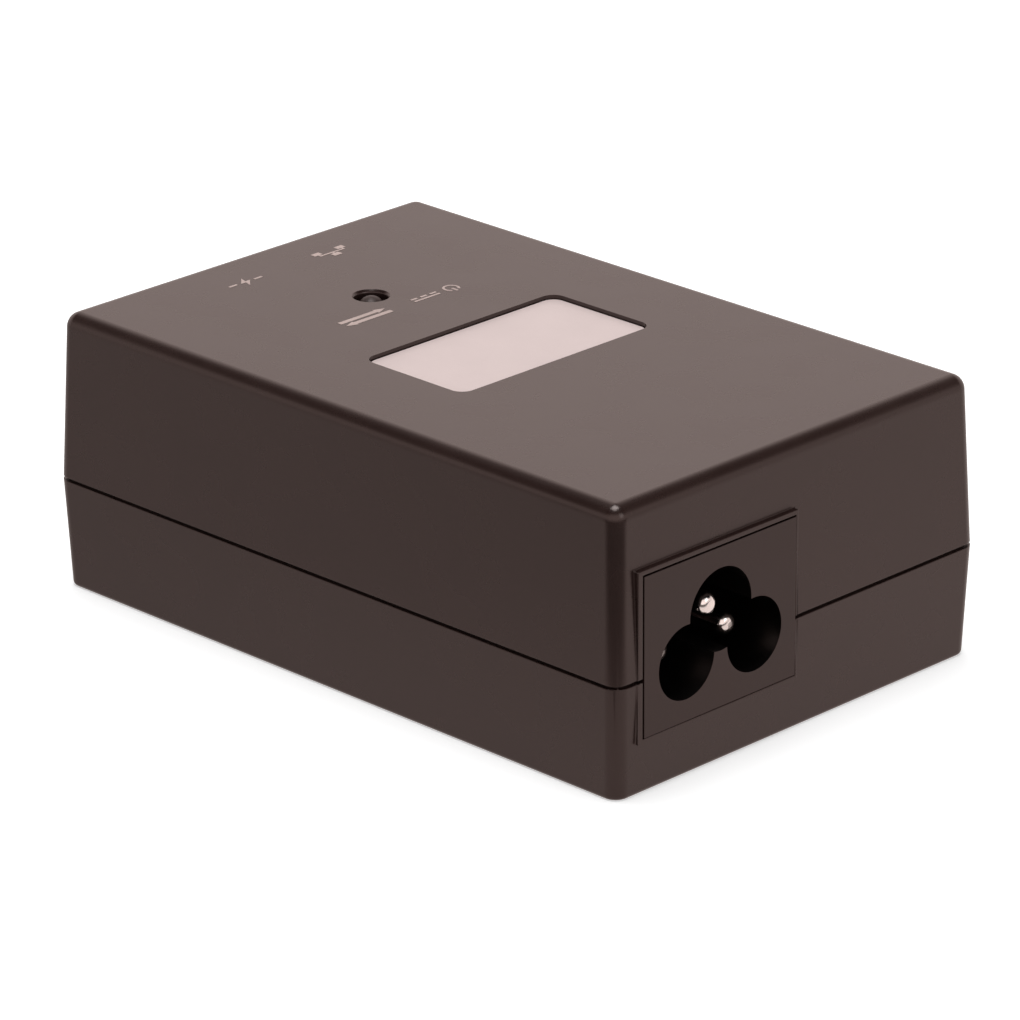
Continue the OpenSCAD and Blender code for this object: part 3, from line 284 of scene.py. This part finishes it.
def clouded(tree, cloud, colour, dark, light):
    """Output of a colour that drifts between a darker and a lighter share of itself."""
    factor = remap(tree, cloud, low=0.0, high=1.0)
    return mix(tree, "RGBA", factor, rgba(shade(colour, dark)), rgba(shade(colour, light)))


def inside_block(tree, middle, half):
    """Output that is 1 inside an upright block given in millimetres, and 0 outside."""
    offset = calculate_vector(tree, "SUBTRACT", object_point(tree), [c * MM for c in middle])
    share = calculate_vector(tree, "DIVIDE", offset, [c * MM for c in half])
    x, y, z = split_axes(tree, calculate_vector(tree, "ABSOLUTE", share))
    widest = calculate(tree, "MAXIMUM", calculate(tree, "MAXIMUM", x, y), z)
    return calculate(tree, "LESS_THAN", widest, 1.0)


# Finishes


def moulded(name, colour, rough, grain=0.3, relief=4, spread=0.12, sink=18):
    """Moulded plastic with a fine grain and slow sink marks, a little uneven in tone and gloss.

    The grain is in millimetres, and the depths of its relief and of the sink marks are in microns.
    """
    material, tree, shader = start_material(name)
    point = object_point(tree)
    tone = noise(tree, point, TONE_SIZE, detail=4.0)
    fine = noise(tree, point, grain, detail=1.0)
    waves = noise(tree, point, WAVE_SIZE, detail=1.0)
    colours = clouded(tree, tone, colour, dark=1 - spread, light=1 + spread)
    tree.links.new(colours, shader.inputs["Base Color"])
    swing = GLOSS_SHARE * spread
    gloss = remap(tree, tone, low=rough - swing, high=rough + swing)
    tree.links.new(gloss, shader.inputs["Roughness"])
    slow = bump(tree, waves, sink)
    tree.links.new(bump(tree, fine, relief, slow), shader.inputs["Normal"])
    return material


def metal(name, colour, rough, along=(1, 1, 1), mirror=1.0):
    """Plated or rolled metal with fine streaks and a little tarnish; less mirror is more satin."""
    material, tree, shader = start_material(name)
    shader.inputs["Metallic"].default_value = mirror
    streaks = noise(tree, object_point(tree, along), STREAK_SIZE, detail=3.0)
    tarnish = noise(tree, object_point(tree), TARNISH_SIZE, detail=3.0)
    colours = clouded(tree, tarnish, colour, dark=0.88, light=1.06)
    tree.links.new(colours, shader.inputs["Base Color"])
    gloss = remap(tree, streaks, low=rough - 0.06, high=rough + 0.08)
    tree.links.new(gloss, shader.inputs["Roughness"])
    tree.links.new(bump(tree, streaks, depth=2), shader.inputs["Normal"])
    return material


def give_sheen(material, index):
    """Warm gloss of the moulded plastic and of the lens, for a refractive index."""
    shader = principled(material)
    shader.inputs["IOR"].default_value = index
    shader.inputs["Specular Tint"].default_value = rgba(CASE_SHEEN)


def case_finish(name):
    """Satin dark brown plastic of the case, with its fine spark grain and faint sink marks."""
    material = moulded(name, CASE_BROWN, rough=0.27, grain=0.4, relief=1.2, spread=0.05, sink=15)
    give_sheen(material, index=1.56)
    return material


def inlet_finish(name):
    """Inlet plastic: as the case on its plate, and near black down in the recess as painted shade."""
    material = moulded(name, INLET_BROWN, rough=0.36, grain=0.2, relief=3)
    give_sheen(material, index=1.49)
    tree = material.node_tree
    base = principled(material).inputs["Base Color"]
    plate = base.links[0].from_socket
    # Painted shade: inside the recess block the colour goes near black
    recess = inside_block(tree, RECESS_MIDDLE, RECESS_HALF)
    tree.links.new(mix(tree, "RGBA", recess, plate, rgba(RECESS_PAINTED_SHADE)), base)
    return material


def lens_finish(name):
    """Epoxy of the lamp, unlit, with a soft gloss; its colour is near black as painted shade of the dark
    hole it sits in.
    """
    # Painted shade: the near black colour stands in for the dark hole round the lens
    material = moulded(name, LENS_PAINTED_SHADE, rough=0.46, grain=0.6, relief=1)
    give_sheen(material, index=1.54)
    principled(material).inputs["Transmission Weight"].default_value = 0.1
    return material


def label_finish(name):
    """Silver film with a faint grain that runs along the case, and a soft sheen."""
    material, tree, shader = start_material(name)
    grain = noise(tree, object_point(tree, stretch=(1, 6, 1)), size=0.6, detail=3.0)
    cloud = noise(tree, object_point(tree), size=8.0, detail=2.0)
    colours = clouded(tree, cloud, LABEL_SILVER, dark=0.97, light=1.03)
    tree.links.new(colours, shader.inputs["Base Color"])
    tree.links.new(remap(tree, grain, low=0.34, high=0.46), shader.inputs["Roughness"])
    tree.links.new(bump(tree, grain, depth=1), shader.inputs["Normal"])
    return material


def board_finish(name):
    """Green solder mask over a faint net of copper tracks."""
    material, tree, shader = start_material(name)
    point = object_point(tree)
    tracks = add_node(tree, "ShaderNodeTexBrick")
    tracks.inputs["Scale"].default_value = 220.0
    tracks.inputs["Mortar Size"].default_value = 0.06
    tracks.inputs["Color1"].default_value = rgba(MASK_GREEN)
    tracks.inputs["Color2"].default_value = rgba(MASK_GREEN_LIGHT)
    tracks.inputs["Mortar"].default_value = rgba(TRACK_GREEN)
    tree.links.new(point, tracks.inputs["Vector"])
    tree.links.new(tracks.outputs["Color"], shader.inputs["Base Color"])
    cloud = noise(tree, point, size=4.0, detail=2.0)
    tree.links.new(remap(tree, cloud, low=0.25, high=0.38), shader.inputs["Roughness"])
    tree.links.new(bump(tree, tracks.outputs["Fac"], depth=20), shader.inputs["Normal"])
    return material


SPECIAL_FINISHES = {
    "case_plastic": case_finish,
    "inlet_plastic": inlet_finish,
    "lamp_lens": lens_finish,
    "label_film": label_finish,
    "board_laminate": board_finish,
}


def finish_of(slot):
    """The material for one of the record's material slots."""
    name = slot + "_finish"
    if slot in SPECIAL_FINISHES:
        return SPECIAL_FINISHES[slot](name)
    if slot in METALS:
        return metal(name, **METALS[slot])
    return moulded(name, **PLASTICS[slot])


# Pieces


def add_object(name, data):
    """A new object in the scene."""
    thing = bpy.data.objects.new(name, data)
    bpy.context.scene.collection.objects.link(thing)
    return thing


def mesh_of(shape, name):
    """A new mesh from a bmesh, which is freed."""
    mesh = bpy.data.meshes.new(name)
    shape.to_mesh(mesh)
    shape.free()
    return mesh


def depth_inside(point):
    """Depth of a point below the outside of the case, in millimetres."""
    x, y, z = (c / MM for c in point)
    draft = DRAFT_SLOPE * abs(z - PARTING_HEIGHT)
    return min(CASE_HEIGHT - z, z, HALF_LENGTH - draft - abs(x), HALF_WIDTH - draft - abs(y))


def is_sharp(edge):
    """Whether two faces meet at the edge at a clear angle."""
    return len(edge.link_faces) == 2 and edge.calc_face_angle(0.0) > SHARP_ANGLE


def shell_weight(edge):
    """Rounding of a shell's edge: none inside the case or on the flat top and base."""
    ends = [vert.co for vert in edge.verts]
    inside = max(depth_inside(point) for point in ends) > OUTSIDE_DEPTH
    on_top = min(point.z for point in ends) > (CASE_HEIGHT - FLAT_FACE_DEPTH) * MM
    on_base = max(point.z for point in ends) < FLAT_FACE_DEPTH * MM
    return 0.0 if inside or on_top or on_base else 1.0


def every_weight(edge):
    """The same rounding at every edge."""
    return 1.0


def weighted_copy(node, name, weight_of):
    """A welded copy of a node's mesh, with the rounding of each sharp edge noted on it."""
    shape = bmesh.new()
    shape.from_mesh(node.data)
    bmesh.ops.remove_doubles(shape, verts=shape.verts, dist=WELD_DISTANCE * MM)
    weight = shape.edges.layers.float.new("bevel_weight_edge")
    for edge in shape.edges:
        sharp = is_sharp(edge)
        edge[weight] = weight_of(edge) if sharp else 0.0
        edge.smooth = edge[weight] > 0 or not sharp
    for face in shape.faces:
        face.smooth = True
    mesh = mesh_of(shape, name)
    if "custom_normal" in mesh.attributes:
        mesh.attributes.remove(mesh.attributes["custom_normal"])
    mesh.materials.append(node.data.materials[0])
    return mesh


def softened(node_name, width, segments, weight_of=every_weight):
    """Stands in for a CAD node: the same shape with its sharp edges rounded off by a small radius."""
    mesh = weighted_copy(nodes[node_name], node_name + "_shape", weight_of)
    piece = add_object(node_name + "_finished", mesh)
    rounding = piece.modifiers.new("edge_rounding", "BEVEL")
    rounding.limit_method = "WEIGHT"
    rounding.width = width * MM
    rounding.segments = segments
    rounding.use_clamp_overlap = False
    normals = piece.modifiers.new("flat_faces", "WEIGHTED_NORMAL")
    normals.weight = FLAT_FACE_WEIGHT
    normals.keep_sharp = True
    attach(piece, ROOT)
    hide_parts(node_name)


def printed(name, outlines, centre, ink):
    """Thin print on the top face: flat outlines, read from the socket end, round a centre."""
    shape = bmesh.new()
    low = (CASE_HEIGHT - PRINT_ROOT) * MM
    thickness = (PRINT_ROOT + PRINT_RISE) * MM
    for outline in outlines:
        points = [Vector(((centre[0] + v) * MM, (centre[1] - u) * MM, low)) for u, v in outline]
        face = shape.faces.new([shape.verts.new(p) for p in points])
        side = bmesh.ops.extrude_face_region(shape, geom=[face])
        raised = [v for v in side["geom"] if isinstance(v, bmesh.types.BMVert)]
        bmesh.ops.translate(shape, verts=raised, vec=(0, 0, thickness))
    bmesh.ops.recalc_face_normals(shape, faces=shape.faces)
    piece = add_object(name, mesh_of(shape, name))
    piece.data.materials.append(ink)
    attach(piece, ROOT)


# Outlines of the printed marks, in millimetres round their centres


def bar(u0, v0, u1, v1):
    """Outline of an upright rectangle."""
    return [(u0, v0), (u1, v0), (u1, v1), (u0, v1)]


def arc(radius, stroke, start, stop, steps=28):
    """Outline of a ring segment between two angles in degrees."""
    angles = [math.radians(start + (stop - start) * i / steps) for i in range(steps + 1)]
    outer = radius + stroke / 2
    inner = radius - stroke / 2
    rim = [(outer * math.cos(a), outer * math.sin(a)) for a in angles]
    return rim + [(inner * math.cos(a), inner * math.sin(a)) for a in reversed(angles)]


def turned(outline):
    """The outline turned half round its centre."""
    return [(-u, -v) for u, v in outline]


def power_mark():
    """Ring with a gap and an upright bar, then a line over three dashes."""
    ring_at = -2.3
    stroke = 0.26
    ring = [(u + ring_at, v) for u, v in arc(radius=0.8, stroke=stroke, start=125, stop=415)]
    stem = bar(ring_at - stroke / 2, 0.1, ring_at + stroke / 2, 1.0)
    left = -0.4
    near = 0.14
    far = 0.44
    dash = 0.9
    pitch = 1.35
    line = bar(left, near, left + 2 * pitch + dash, far)
    dashes = [bar(left + pitch * i, -far, left + pitch * i + dash, -near) for i in range(3)]
    return [ring, stem, line, *dashes]


def traffic_mark():
    """Two arrows that point opposite ways."""
    tip = 3.2
    neck = 1.9
    middle = 0.5
    shaft = 0.3
    head = 0.52
    lower = [(-tip, middle - shaft), (neck, middle - shaft), (neck, middle - head)]
    upper = [(neck, middle + head), (neck, middle + shaft), (-tip, middle + shaft)]
    arrow = [*lower, (tip, middle), *upper]
    return [arrow, turned(arrow)]


def network_mark():
    """One box above two, joined by lines, as one outline that is the same on both sides."""
    line = 0.12
    drop = 1.65
    top_box = [(0.55, 1.0), (0.55, 0.3)]
    shoulder = [(line, 0.3), (line, line), (drop + line, line), (drop + line, -0.3)]
    low_box = [(2.2, -0.3), (2.2, -1.0), (1.1, -1.0), (1.1, -0.3)]
    underside = [(drop - line, -0.3), (drop - line, -line)]
    right = top_box + shoulder + low_box + underside
    return [right + [(-u, v) for u, v in reversed(right)]]


def bolt_mark():
    """Zigzag between two bars."""
    stroke = [(0.35, 1.05), (-0.75, -0.15), (-0.1, -0.15)]
    dash = bar(-2.3, -0.16, -1.2, 0.16)
    return [stroke + turned(stroke), dash, turned(dash)]


# Stage


def stage_light(name, place, target, size, power):
    """White square area lamp that points at a target, all in metres."""
    lamp = bpy.data.lights.new(name, "AREA")
    lamp.shape = "SQUARE"
    lamp.size = size
    lamp.energy = power
    lamp.color = WHITE
    holder = add_object(name, lamp)
    holder.location = place
    holder.rotation_euler = (Vector(target) - Vector(place)).to_track_quat("-Z", "Y").to_euler()


def ray_kinds(tree):
    """Outputs that tell camera and glass rays, and mirror rays, from the rest."""
    path = add_node(tree, "ShaderNodeLightPath")
    camera = path.outputs["Is Camera Ray"]
    direct = calculate(tree, "MAXIMUM", camera, path.outputs["Is Transmission Ray"])
    return direct, path.outputs["Is Glossy Ray"]


def diagonals(tree, vector):
    """Outputs of how far a vector reaches to the camera's right, towards the camera, and up."""
    x, y, up = split_axes(tree, vector)
    right = calculate(tree, "MULTIPLY", calculate(tree, "ADD", x, y), math.sqrt(0.5))
    front = calculate(tree, "MULTIPLY", calculate(tree, "SUBTRACT", x, y), math.sqrt(0.5))
    return right, front, up


def pool_level(tree):
    """Output level of the lit floor: brighter to the right, and falling off towards the front."""
    right, front, _ = diagonals(tree, object_point(tree))
    across = remap(tree, right, POOL_LEFT, POOL_RIGHT, -POOL_HALF_WIDTH, POOL_HALF_WIDTH)
    fade = remap(tree, front, 1.0, POOL_FADED, POOL_EDGE, POOL_END)
    return calculate(tree, "MULTIPLY", across, fade)


def room_level(tree):
    """Output level of the walls, brighter front and back, under the dark ceiling."""
    coords = add_node(tree, "ShaderNodeTexCoord")
    _, front, up = diagonals(tree, coords.outputs["Generated"])
    reach = calculate(tree, "ABSOLUTE", front)
    wall = remap(tree, reach, WALL_SIDES, WALL_ENDS, 0.0, 1.0)
    height = calculate(tree, "MULTIPLY_ADD", reach, -CEILING_SLOPE, up)
    start = math.sin(math.radians(CEILING_START))
    full = math.sin(math.radians(CEILING_FULL))
    open_share = remap(tree, height, 1.0, 0.0, start, full)
    return calculate(tree, "MULTIPLY", wall, open_share)


def lifted_matt(tree, direct):
    """Shader of the floor as the camera sees it: matt, with its grey lifted towards white."""
    matt = add_node(tree, "ShaderNodeBsdfDiffuse")
    matt.inputs["Color"].default_value = rgba(FLOOR_COLOUR)
    away = calculate_vector(tree, "LENGTH", object_point(tree))
    level = remap(tree, away, LIFT_NEAR, LIFT_FAR, LIFT_NEAR_AT, LIFT_FAR_AT)
    lift = add_node(tree, "ShaderNodeEmission")
    tree.links.new(calculate(tree, "MULTIPLY", direct, level), lift.inputs["Strength"])
    both = add_node(tree, "ShaderNodeAddShader")
    tree.links.new(matt.outputs[0], both.inputs[0])
    tree.links.new(lift.outputs[0], both.inputs[1])
    return both.outputs[0]


def floor_finish(name):
    """White floor with a soft shadow for the camera, and a warm pool of light for mirror rays."""
    material, tree, shader = start_material(name)
    tree.nodes.remove(shader)
    direct, mirror = ray_kinds(tree)
    pool = add_node(tree, "ShaderNodeEmission")
    pool.inputs["Color"].default_value = rgba(ROOM_TINT)
    tree.links.new(pool_level(tree), pool.inputs["Strength"])
    choice = add_node(tree, "ShaderNodeMixShader")
    tree.links.new(mirror, choice.inputs[0])
    tree.links.new(lifted_matt(tree, direct), choice.inputs[1])
    tree.links.new(pool.outputs[0], choice.inputs[2])
    tree.links.new(choice.outputs[0], tree.nodes["Material Output"].inputs["Surface"])
    return material


def make_floor():
    """Wide flat floor under the injector."""
    mesh = bpy.data.meshes.new("floor")
    square = bar(-FLOOR_HALF_SIZE, -FLOOR_HALF_SIZE, FLOOR_HALF_SIZE, FLOOR_HALF_SIZE)
    mesh.from_pydata([(x, y, 0) for x, y in square], [], [(0, 1, 2, 3)])
    mesh.materials.append(floor_finish("floor_white"))
    floor = add_object("floor", mesh)


def make_world():
    """White room with a dark vaulted ceiling in its mirror image; the camera sees it plain white."""
    world = bpy.data.worlds.new("room")
    bpy.context.scene.world = world
    world.use_nodes = True
    tree = world.node_tree
    background = tree.nodes["Background"]
    direct, mirror = ray_kinds(tree)
    unseen = mix(tree, "FLOAT", mirror, ROOM_FILL, room_level(tree))
    tree.links.new(mix(tree, "FLOAT", direct, unseen, 1.0), background.inputs["Strength"])
    tint = mix(tree, "RGBA", mirror, rgba(WHITE), rgba(ROOM_TINT))
    tree.links.new(tint, background.inputs["Color"])


def make_camera():
    """Camera at the photograph's view."""
    camera = bpy.data.cameras.new("camera")
    camera.lens = CAMERA_LENS
    camera.sensor_width = SENSOR_WIDTH
    camera.clip_start = CLIP_START
    holder = add_object("camera", camera)
    turn = Matrix((CAMERA_RIGHT, CAMERA_UP, CAMERA_BACK)).transposed().to_4x4()
    holder.matrix_world = Matrix.Translation(Vector(CAMERA_PLACE) * MM) @ turn
    bpy.context.scene.camera = holder


finishes = {slot: finish_of(slot) for slot in dict.fromkeys(slots.values())}
for node_name, node in nodes.items():
    node.data.materials[0] = finishes[slots[node_name]]

softened("upper_case", width=0.12, segments=3, weight_of=shell_weight)
softened("lower_case", width=0.12, segments=3, weight_of=shell_weight)
softened("jack_housing", width=0.12, segments=2)
softened("jack_shield", width=0.05, segments=2)
softened("case_screws", width=0.1, segments=2)
softened("status_lamp", width=0.02, segments=1)

ink = moulded("print_ink", INK_GREY, rough=0.5, grain=0.4, relief=3)
printed("mark_power", power_mark(), centre=(-15.65, 5.0), ink=ink)
printed("mark_traffic", traffic_mark(), centre=(-15.65, -4.9), ink=ink)
printed("mark_network", network_mark(), centre=(-32.5, 6.45), ink=ink)
printed("mark_supply", bolt_mark(), centre=(-32.3, -6.1), ink=ink)

make_floor()
make_world()
stage_light("top_light", place=(-0.04, 0.0, 0.75), target=(0, 0, 0.02), size=0.45, power=4.0)
stage_light("end_light", place=(0.70, 0.02, 0.42), target=(0.04, -0.012, 0.015), size=0.35, power=0.55)
make_camera()
bpy.context.scene.view_settings.view_transform = "Standard"

bpy.context.view_layer.update()
